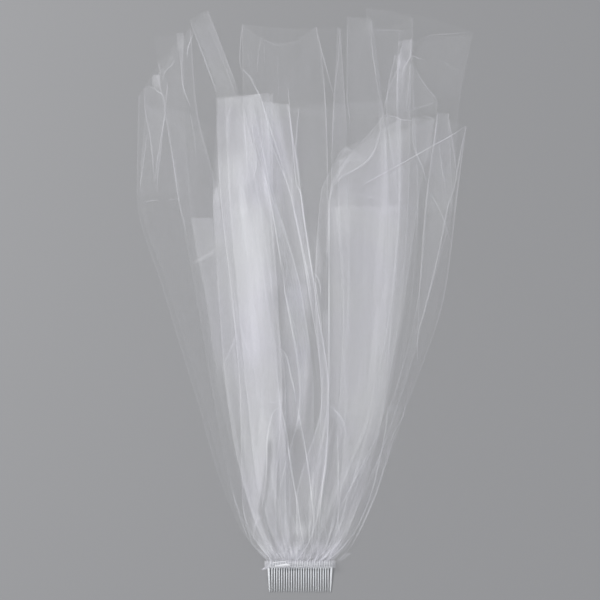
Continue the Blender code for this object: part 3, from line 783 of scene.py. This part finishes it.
def tier_shell(tier, runs, chance):
    """x, y, z, net layers and cut position of a tier, column by column, round all its folds."""
    rows = runs[0].shape[1]
    pinched = chance.uniform(*PINCH_RANGE, (PINCH_STATIONS, len(tier.pinches)))
    pinched = glide_rows(pinched, rows) * tier.pinches
    columns, cut = [], 0.0
    for index, run in enumerate(runs):
        run[3, :, :2] += pinched[:, index, None] * [1, PINCH_FADE]
        run[3, :, -2:] += pinched[:, index + 1, None] * [PINCH_FADE, 1]
        for i in range(run.shape[2]):
            if i:
                cut += np.abs(run[0, :, i] - run[0, :, i - 1]).max()
            columns.append(np.vstack([run[:, :, i], np.full(rows, cut)]))
        if index + 1 == len(runs):
            break
        outward = 1 if is_right_turn(tier, index + 1) else -1
        below, above = run[:, :, -1], runs[index + 1][:, :, 0]
        half_rise = (above[2] - below[2]) / 2
        for angle in ROUND_ANGLES:
            x = below[0] + FOLD_REACH * math.cos(angle) * outward
            z = below[2] + half_rise * (1 + math.sin(angle))
            columns.append(np.vstack([x, below[1], z, below[3], np.full(rows, cut)]))
        cut += half_rise.mean() * math.pi
    return np.stack(columns, axis=1)


def new_object(name, data):
    obj = bpy.data.objects.new(name, data)
    bpy.context.scene.collection.objects.link(obj)
    return obj


def new_mesh_object(name, points, faces, material):
    mesh = bpy.data.meshes.new(name)
    mesh.from_pydata([tuple(point) for point in points], [], faces)
    mesh.update()
    mesh.shade_smooth()
    mesh.materials.append(material)
    return new_object(name, mesh)


def grid_faces(columns, rows, first=0):
    """Quads of a grid whose points are listed column by column."""
    return [
        (first + i * rows + j, first + (i + 1) * rows + j,
         first + (i + 1) * rows + j + 1, first + i * rows + j + 1)
        for i in range(columns - 1) for j in range(rows - 1)
    ]


class Net:
    """Points, faces, net layers and cut positions of one piece of net, grid by grid."""

    def __init__(self):
        self.points, self.faces, self.layers, self.cut = [], [], [], []

    def add_grid(self, x, y, z, layers, cut_x, cut_y):
        """Adds a grid. Each array has a row for each column of points."""
        self.faces += grid_faces(*x.shape, len(self.points))
        self.points += list(zip(x.ravel(), y.ravel(), z.ravel()))
        self.layers += list(layers.ravel())
        self.cut += list(zip(cut_x.ravel(), cut_y.ravel()))

    def surface(self):
        return BVHTree.FromPolygons([tuple(point) for point in self.points], self.faces)

    def make(self, name, material):
        """The mesh object. It casts no shadow, as light passes through net almost freely."""
        obj = new_mesh_object(name, self.points, self.faces, material)
        mesh = obj.data
        mesh.attributes.new("net_layers", "FLOAT", "POINT").data.foreach_set("value", self.layers)
        corners = np.array([loop.vertex_index for loop in mesh.loops])
        mesh.uv_layers.new(name="cut").data.foreach_set("uv", np.array(self.cut)[corners].ravel())
        obj.visible_shadow = False
        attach(obj, "root")
        return obj


def surface_heights(surfaces, x, y):
    """The height of the topmost surface at each place, or of the table beside them."""
    heights = []
    for place_x, place_y in zip(x.ravel(), y.ravel()):
        above = Vector((place_x, place_y, ABOVE_ALL))
        hits = [surface.ray_cast(above, Vector((0, 0, -1)))[0] for surface in surfaces]
        heights.append(max((hit.z for hit in hits if hit), default=0.0))
    return np.array(heights).reshape(x.shape)


def directions(path):
    """Unit directions along a path."""
    along = np.gradient(path, axis=0)
    return along / np.linalg.norm(along, axis=1)[:, None]


def add_crease(net, crease, surfaces, chance):
    """A crease pinched up from the surfaces: a narrow uneven ridge, tapered at both ends."""
    width, layers, *pixels = crease
    path = crease_path(pixels)
    along = directions(path)
    taper = np.sin(math.pi * np.linspace(CREASE_END, 1 - CREASE_END, len(path))) ** CREASE_TAPER
    swell = glide_rows(chance.uniform(*CREASE_SWELL, (2 + len(pixels), 1)), len(path))[:, 0]
    sides = np.array(CREASE_SIDES)[:, None]
    half_width = sides * width * MM / 2 * taper
    x = path[:, 0] - along[:, 1] * half_width
    y = path[:, 1] + along[:, 0] * half_width
    crest = (1 - np.abs(sides)) * taper
    z = surface_heights(surfaces, x, y) + CREASE_LIFT + CREASE_RISE * width * MM * crest
    layers = layers * taper * swell * np.array(CREASE_SIDE_LAYERS)[:, None]
    net.add_grid(x, y, z, layers, x, y)


def add_tuck(net, tuck, surfaces):
    """A tuck that lies on the surfaces, and melts into them at its end towards the comb."""
    layers, *rungs = tuck
    rungs = np.array(rungs, float)
    length = (rungs[-1, 0] - rungs[0, 0]) * PIXEL
    width = (rungs[:, 2] - rungs[:, 1]).max() * PIXEL
    rungs = glide_rows(rungs, max(FEWEST_TUCK_STEPS, int(length / CREASE_STEP)) + 1)
    even = np.linspace(0, 1, max(FEWEST_TUCK_CELLS, int(width / TUCK_CELL)) + 1)
    inner = 2 * TUCK_RIM * (1 - even) + (1 - 2 * TUCK_RIM) * even
    across = np.array([0, TUCK_RIM, *inner, 1 - TUCK_RIM, 1])[:, None]
    pixels = np.stack([rungs[:, 1] * (1 - across) + rungs[:, 2] * across,
                       np.repeat(rungs[None, :, 0], len(across), 0)], axis=-1)
    x, y = np.moveaxis(pixel_to_plan(pixels), -1, 0)
    z = surface_heights(surfaces, x, y) + CREASE_LIFT
    fade = smooth_step(np.linspace(1, 0, len(rungs)) / TUCK_FADE)
    layers = np.full(x.shape, layers * fade)
    layers[[0, -1]] *= TUCK_EDGE_SHARE
    net.add_grid(x, y, z, layers, x, y)


def add_tier(tier, pile, below, material):
    """One tier of net as a thin shell, with the tucks and creases that lie on it.

    Returns it with its surface and the ones below it, which are passed in.
    """
    chance = np.random.default_rng(tier.seed)
    coarse_lines, fine_lines = fold_lines(tier, ROWS), fold_lines(tier, FINE_ROWS)
    runs = []
    for index, layers in enumerate(tier.layers):
        dip = tier.folds[index].dip
        start, end = coarse_lines[index:index + 2]
        width = np.abs(end[0] - start[0]).max()
        cells = int(np.clip(round(width / CELL_WIDTH), FEWEST_CELLS, MOST_CELLS))
        heights = pile.lay(*run_between(start, end, dip, np.linspace(0, 1, cells + 1)))
        runs.append(fine_run(heights, *fine_lines[index:index + 2], dip, layers, chance))
    x, y, z, layers, cut = tier_shell(tier, runs, chance)
    z = z + pile_relief(x, y) * np.clip(z / FULL_LIFT, 0, 1)
    layers = layers * patch_density(x, y, tier.patches)
    x, layers, cut = (np.hstack([values[:, :1], values]) for values in (x, layers, cut))
    y = np.hstack([y[:, :1] - TUCK_DEPTH, y])
    z = np.hstack([z[:, :1] * TUCKED_HEIGHT_SHARE, z])
    net = Net()
    net.add_grid(x, y, z, layers, cut, y)
    surfaces = [*below, net.surface()]
    for tuck in tier.tucks.values():
        add_tuck(net, tuck, surfaces)
    surfaces = [*below, net.surface()]
    for crease in tier.creases.values():
        add_crease(net, crease, surfaces, chance)
    obj = net.make(tier.piece, material)
    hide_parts(tier.node)
    return obj, surfaces


# ---- materials


def new_material(name, values):
    """A material, its node tree and its shader, with the values on the shader's own sockets."""
    material = bpy.data.materials.new(name)
    material.use_nodes = True
    shader = material.node_tree.nodes["Principled BSDF"]
    for socket, value in values.items():
        shader.inputs[socket].default_value = value
    return material, material.node_tree, shader


def math_node(tree, operation, *inputs):
    """A Math node. Its inputs are sockets or numbers."""
    node = tree.nodes.new("ShaderNodeMath")
    node.operation = operation
    for socket, value in zip(node.inputs, inputs):
        if isinstance(value, (int, float)):
            socket.default_value = value
        else:
            tree.links.new(value, socket)
    return node.outputs[0]


def map_range(tree, value, low, high, to_low=0, to_high=1):
    """Carries a value's range from low to high over to to_low to to_high, and holds it there."""
    node = tree.nodes.new("ShaderNodeMapRange")
    limits = {"From Min": low, "From Max": high, "To Min": to_low, "To Max": to_high}
    for name, number in limits.items():
        node.inputs[name].default_value = number
    tree.links.new(value, node.inputs["Value"])
    return node.outputs[0]


def noise(tree, size):
    """Even noise in the object's own space, with features of about the given size."""
    place = tree.nodes.new("ShaderNodeTexCoord").outputs["Object"]
    node = tree.nodes.new("ShaderNodeTexNoise")
    node.inputs["Scale"].default_value = 1 / size
    tree.links.new(place, node.inputs["Vector"])
    return node.outputs["Fac"]


def bump(tree, shader, height, distance):
    node = tree.nodes.new("ShaderNodeBump")
    node.inputs["Distance"].default_value = distance
    tree.links.new(height, node.inputs["Height"])
    tree.links.new(node.outputs[0], shader.inputs["Normal"])


def net_threads(tree):
    """1 on the threads of an even six-sided net and 0 in its holes."""
    uv = tree.nodes.new("ShaderNodeUVMap")
    uv.uv_map = "cut"
    wave_number = 2 * math.pi / NET_PITCH
    waves = []
    for turn in map(math.radians, NET_ANGLES):
        dot = tree.nodes.new("ShaderNodeVectorMath")
        dot.operation = "DOT_PRODUCT"
        dot.inputs[1].default_value = (math.cos(turn) * wave_number, math.sin(turn) * wave_number, 0)
        tree.links.new(uv.outputs[0], dot.inputs[0])
        waves.append(math_node(tree, "COSINE", dot.outputs["Value"]))
    total = math_node(tree, "ADD", math_node(tree, "ADD", waves[0], waves[1]), waves[2])
    return map_range(tree, total, *NET_WAVES)


def tulle_material():
    """Sheer net: see-through by its holes, denser where the cloth is folded or pinched."""
    material, tree, shader = new_material("tulle", TULLE_VALUES)
    tint = tree.nodes.new("ShaderNodeMix")
    tint.data_type = "RGBA"
    tint.inputs["A"].default_value = NET_LAVENDER
    tint.inputs["B"].default_value = NET_NEUTRAL
    share = map_range(tree, noise(tree, NET_TINT_SIZE), *NET_TINT_RANGE)
    tree.links.new(share, tint.inputs["Factor"])
    tree.links.new(tint.outputs["Result"], shader.inputs["Base Color"])
    layers = tree.nodes.new("ShaderNodeAttribute")
    layers.attribute_name = "net_layers"
    open_share = math_node(tree, "POWER", 1 - NET_ALPHA, layers.outputs["Fac"])
    solid = math_node(tree, "SUBTRACT", 1.0, open_share)
    threads = net_threads(tree)
    swing = math_node(tree, "MULTIPLY_ADD", threads, THREAD_ALPHA_SWING, HOLE_ALPHA_SHARE)
    tree.links.new(math_node(tree, "MULTIPLY", solid, swing), shader.inputs["Alpha"])
    tree.links.new(map_range(tree, threads, 0, 1, *NET_ROUGHNESS), shader.inputs["Roughness"])
    bump(tree, shader, threads, NET_RELIEF)
    return material


def plastic_material():
    """Clear moulded plastic: clearest in the bar, finely scuffed, with the teeth milky at their roots
    and clearer towards the tips as a painted highlight.
    """
    material, tree, shader = new_material("clear_plastic", PLASTIC_VALUES)
    place = tree.nodes.new("ShaderNodeTexCoord").outputs["Object"]
    split = tree.nodes.new("ShaderNodeSeparateXYZ")
    tree.links.new(place, split.inputs[0])
    along = split.outputs["Y"]
    # Painted highlight: the teeth are milkiest at their roots and clearer towards their tips, set by
    # place along the comb.
    painted_tooth_highlight = map_range(tree, along, BAR_FRONT, TOOTH_TIP, PAINTED_HIGHLIGHT_ROOT_CLEAR, PAINTED_HIGHLIGHT_TIP_CLEAR)
    bar = map_range(tree, along, BAR_FRONT, BAR_FRONT + CLEARING, 0, BAR_CLEAR)
    tree.links.new(math_node(tree, "MAXIMUM", painted_tooth_highlight, bar), shader.inputs["Transmission Weight"])
    scuffs = noise(tree, PLASTIC_SCUFFS)
    gloss = map_range(tree, scuffs, *SCUFF_RANGE, *PLASTIC_ROUGHNESS)
    tree.links.new(gloss, shader.inputs["Roughness"])
    bump(tree, shader, scuffs, PLASTIC_RELIEF)
    return material


def thread_material():
    """White sewing thread with a soft gloss and its ply twisted along it."""
    material, tree, shader = new_material("thread", THREAD_VALUES)
    place = tree.nodes.new("ShaderNodeTexCoord").outputs["Object"]
    ply = tree.nodes.new("ShaderNodeTexWave")
    ply.bands_direction = "DIAGONAL"
    ply.inputs["Scale"].default_value = PLY_SCALE
    tree.links.new(place, ply.inputs["Vector"])
    gloss = map_range(tree, ply.outputs["Fac"], 0, 1, *PLY_ROUGHNESS)
    tree.links.new(gloss, shader.inputs["Roughness"])
    bump(tree, shader, ply.outputs["Fac"], PLY_RELIEF)
    return material


# ---- comb


def comb_teeth():
    """Middle, width and lean of the tip for each tooth, from left to right."""
    first = -SLIM_PITCH * (SLIM_TEETH - 1) / 2
    slim = [(first + i * SLIM_PITCH, SLIM_TOOTH_WIDTH, 0.0) for i in range(SLIM_TEETH)]
    left_end = (-END_TOOTH_FROM_MIDDLE, END_TOOTH_WIDTH, END_TOOTH_LEAN)
    right_end = (END_TOOTH_FROM_MIDDLE, END_TOOTH_WIDTH, -END_TOOTH_LEAN)
    return [left_end, *slim, right_end]


def soft_box(half_width, half_height):
    """A box-like ring with round corners, as offsets sideways and up."""
    angles = 2 * math.pi * np.arange(TOOTH_POINTS) / TOOTH_POINTS
    ring = np.stack([np.cos(angles), np.sin(angles)], axis=-1)
    return np.sign(ring) * np.abs(ring) ** BOX_ROUNDNESS * (half_width, half_height)


def tube_faces(rings, around, first):
    """Sides and both end caps of a tube whose rings are listed one after another."""
    faces = []
    for i in range(rings - 1):
        for k in range(around):
            a, b = first + i * around + k, first + i * around + (k + 1) % around
            faces.append((a, b, b + around, a + around))
    last = first + (rings - 1) * around
    faces.append(tuple(first + k for k in reversed(range(around))))
    faces.append(tuple(last + k for k in range(around)))
    return faces


def add_comb(material):
    points, faces = [], []
    start = BAR_FRONT + TOOTH_SINK
    for middle, width, lean in comb_teeth():
        faces += tube_faces(TOOTH_SECTIONS + 1, TOOTH_POINTS, len(points))
        for i in range(TOOTH_SECTIONS + 1):
            share = i / TOOTH_SECTIONS
            taper = 1 - (1 - TIP_WIDTH_SHARE) * share ** 2
            past = max(0.0, (share - 1 + TIP_ROUNDING) / TIP_ROUNDING)
            tip = TIP_BLUNTNESS + (1 - TIP_BLUNTNESS) * math.sqrt(max(0.0, 1 - past ** 2))
            thickness = BAR_THICKNESS + (TIP_THICKNESS - BAR_THICKNESS) * share
            half_height = thickness / 2 * FINISH_SHARE
            y = start + (TOOTH_TIP - start) * share
            for aside, up in soft_box(width / 2 * taper * tip, half_height * tip):
                points.append((middle + lean * share + aside, y, half_height + up + TOOTH_LIFT))
    bar_half = END_TOOTH_FROM_MIDDLE + END_TOOTH_WIDTH / 2
    faces += tube_faces(2, TOOTH_POINTS, len(points))
    for x in (-bar_half, bar_half):
        for aside, up in soft_box(BAR_BACK, BAR_THICKNESS / 2 * FINISH_SHARE):
            points.append((x, aside, BAR_THICKNESS / 2 + up))
    comb = new_mesh_object("comb_clear", points, faces, material)
    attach(comb, "root")
    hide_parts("comb")


# ---- heading and sewing


def heading_profile():
    """The heading's outside cut across the comb, from its back foot to its front lip, as y and z."""
    depth = HEADING_FRONT - HEADING_BACK
    arch = [(HEADING_BACK + along * depth, up * HEADING_HEIGHT) for along, up in HEADING_ARCH]
    lip = BAR_THICKNESS + BAR_CLEARANCE
    arch += [(HEADING_FRONT, lip + HEADING_LIP), (HEADING_FRONT, lip), (HEADING_FRONT, HEADING_FOOT)]
    return glide_rows(np.array(arch), PROFILE_POINTS)


def outward_of(profile):
    """Unit directions that point out of a profile."""
    along = directions(profile)
    return np.stack([along[:, 1], -along[:, 0]], axis=-1)


def add_heading(material):
    """The tiers' gathered top edges, drawn up in uneven small pleats and folded over the bar."""
    chance = np.random.default_rng(HEADING_SEED)
    widths = chance.uniform(*PLEAT_WIDTHS, HEADING_PLEATS)
    ends = np.concatenate([[0], np.cumsum(widths)]) / widths.sum()
    count = HEADING_PLEATS * POINTS_A_PLEAT + 1
    share = np.linspace(0, 1, count)
    turns = np.arange(HEADING_PLEATS + 1)
    turn = np.interp(share, ends, turns)
    heights = np.interp(turn, turns, chance.uniform(*PLEAT_HEIGHTS, HEADING_PLEATS + 1))
    ripple = (heights * np.cos(2 * math.pi * turn))[:, None]
    profile = heading_profile()
    normal = outward_of(profile)
    from_end = 0.5 - np.abs(share - 0.5)
    droop = 1 - END_DROOP * np.clip(1 - from_end / END_SHARE, 0, 1) ** 2
    x = np.repeat((HEADING_WIDTH * (share - 0.5))[:, None], len(profile), 1)
    y = profile[:, 0] + HEADING_RIPPLE * ripple * normal[:, 0]
    z = (profile[:, 1] + HEADING_RIPPLE * ripple * normal[:, 1]) * droop[:, None]
    layers = HEADING_LAYERS * (1 + RIPPLE_LAYERS_SHARE * ripple) * np.ones(x.shape)
    around = np.cumsum(np.linalg.norm(np.diff(profile, axis=0, prepend=profile[:1]), axis=1))
    net = Net()
    net.add_grid(x, y, np.maximum(z, JUST_CLEAR), layers, x * HEADING_FULLNESS,
                 np.repeat(around[None], count, 0))
    obj = net.make("gathered_heading", material)
    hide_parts("heading")


def tube_along(path, radius):
    """Points and faces of a round thread along a path."""
    along = directions(path)
    side = np.cross(along, THREAD_UP)
    side /= np.linalg.norm(side, axis=1)[:, None]
    up = np.cross(side, along)
    angles = 2 * math.pi * np.arange(THREAD_POINTS)[:, None] / THREAD_POINTS
    points = []
    for place, aside, above in zip(path, side, up):
        points += list(place + radius * (np.cos(angles) * aside + np.sin(angles) * above))
    return points, tube_faces(len(path), THREAD_POINTS, 0)


def heading_top(y):
    """The height of the heading's outside at each y, on the way down from its crest too."""
    profile = heading_profile()
    upper = profile[profile[:, 1] > HEADING_HEIGHT * CREST_SHARE]
    return np.interp(y, upper[::-1, 0], upper[::-1, 1])


def stitch_paths():
    """A slanted whip stitch over the heading beside each slim tooth, and the loose strands."""
    chance = np.random.default_rng(STITCH_SEED)
    profile = heading_profile()
    normal = outward_of(profile)
    reach = np.linspace(0, 1, len(profile))
    first = -SLIM_PITCH * SLIM_TEETH / 2
    paths = []
    for i in range(SLIM_TEETH + 1):
        lean = STITCH_LEAN * chance.uniform(*STITCH_LEANS)
        middle = first + i * SLIM_PITCH + chance.uniform(-STITCH_SCATTER, STITCH_SCATTER)
        x = middle + lean * (0.5 - reach)
        y = profile[:, 0] + normal[:, 0] * STITCH_LIFT
        z = profile[:, 1] + normal[:, 1] * STITCH_LIFT
        kept = z > STITCH_FOOT
        paths.append((np.stack([x, y, z], axis=-1)[kept], STITCH_RADIUS))
    for strand in LOOSE_STRANDS:
        plan = glide_rows(pixel_to_plan(strand), FINE_STEPS)
        z = heading_top(plan[:, 1]) + 2 * STITCH_LIFT
        paths.append((np.column_stack([plan, z]), STRAND_RADIUS))
    return paths


def add_stitches(material):
    points, faces = [], []
    for path, radius in stitch_paths():
        tube_points, tube = tube_along(path, radius)
        faces += [tuple(len(points) + corner for corner in face) for face in tube]
        points += tube_points
    stitches = new_mesh_object("whip_stitches", points, faces, material)
    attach(stitches, "root")


def add_knot(material):
    """A little knot of gathered net at the left end of the comb, with a pointed end."""
    chance = np.random.default_rng(KNOT_SEED)
    spine = glide_rows(np.column_stack([pixel_to_plan(KNOT_PIXELS), KNOT_HEIGHTS]), FINE_STEPS)
    radii = glide_rows(np.array(KNOT_RADII)[:, None], FINE_STEPS)
    angles = np.linspace(0, 2 * math.pi, KNOT_POINTS + 1)
    crumple = chance.uniform(*KNOT_CRUMPLE, (KNOT_STATIONS, KNOT_POINTS))
    radius = radii * glide_rows(crumple, FINE_STEPS)[:, [*range(KNOT_POINTS), 0]]
    x = spine[:, 0:1] + radius * np.cos(angles) * KNOT_FLATNESS
    y = spine[:, 1:2] + radius * np.cos(angles)
    z = np.maximum(spine[:, 2:3] + radius * np.sin(angles), JUST_CLEAR)
    net = Net()
    net.add_grid(x, y, z, np.full(x.shape, KNOT_LAYERS), x * KNOT_FULLNESS, z * KNOT_FULLNESS)
    net.make("net_knot", material)


# ---- stage, lights and camera


def add_stage():
    """The plain table, just below the veil."""
    corners = [(STAGE_HALF * x, STAGE_HALF * y, 0) for x, y in ((-1, -1), (1, -1), (1, 1), (-1, 1))]
    material = new_material("pale_table", TABLE_VALUES)[0]
    floor = new_mesh_object("table", corners, [(0, 1, 2, 3)], material)
    floor.location.z = -JUST_CLEAR
    return floor


def light_scene():
    for name, (place, size, energy) in LIGHTS.items():
        data = bpy.data.lights.new(name, "AREA")
        data.size, data.energy = size, energy
        light = new_object(name, data)
        light.location = place
        towards = Vector(LIGHT_TARGET) - Vector(place)
        light.rotation_euler = towards.to_track_quat("-Z", "Y").to_euler()
    world = bpy.data.worlds.new("studio")
    world.use_nodes = True
    background = world.node_tree.nodes["Background"]
    background.inputs["Color"].default_value = SKY_COLOUR
    background.inputs["Strength"].default_value = SKY_STRENGTH
    bpy.context.scene.world = world


def add_camera():
    data = bpy.data.cameras.new("camera")
    data.sensor_width = SENSOR_WIDTH
    data.lens = SENSOR_WIDTH * CAMERA_HEIGHT / (FRAME_PIXELS * PIXEL)
    camera = new_object("camera", data)
    camera.location = (*pixel_to_plan((FRAME_PIXELS / 2, FRAME_PIXELS / 2)), CAMERA_HEIGHT)
    bpy.context.scene.camera = camera


def main():
    scene = bpy.context.scene
    scene.view_settings.view_transform = "Standard"
    scene.cycles.transparent_max_bounces = TRANSPARENT_BOUNCES
    tulle = tulle_material()
    add_comb(plastic_material())
    add_heading(tulle)
    add_stitches(thread_material())
    add_knot(tulle)
    pile = Pile()
    lower, surfaces = add_tier(LONG, pile, [], tulle)
    upper, _ = add_tier(SHORT, pile, surfaces, tulle)
    floor = add_stage()
    light_scene()
    add_camera()


main()
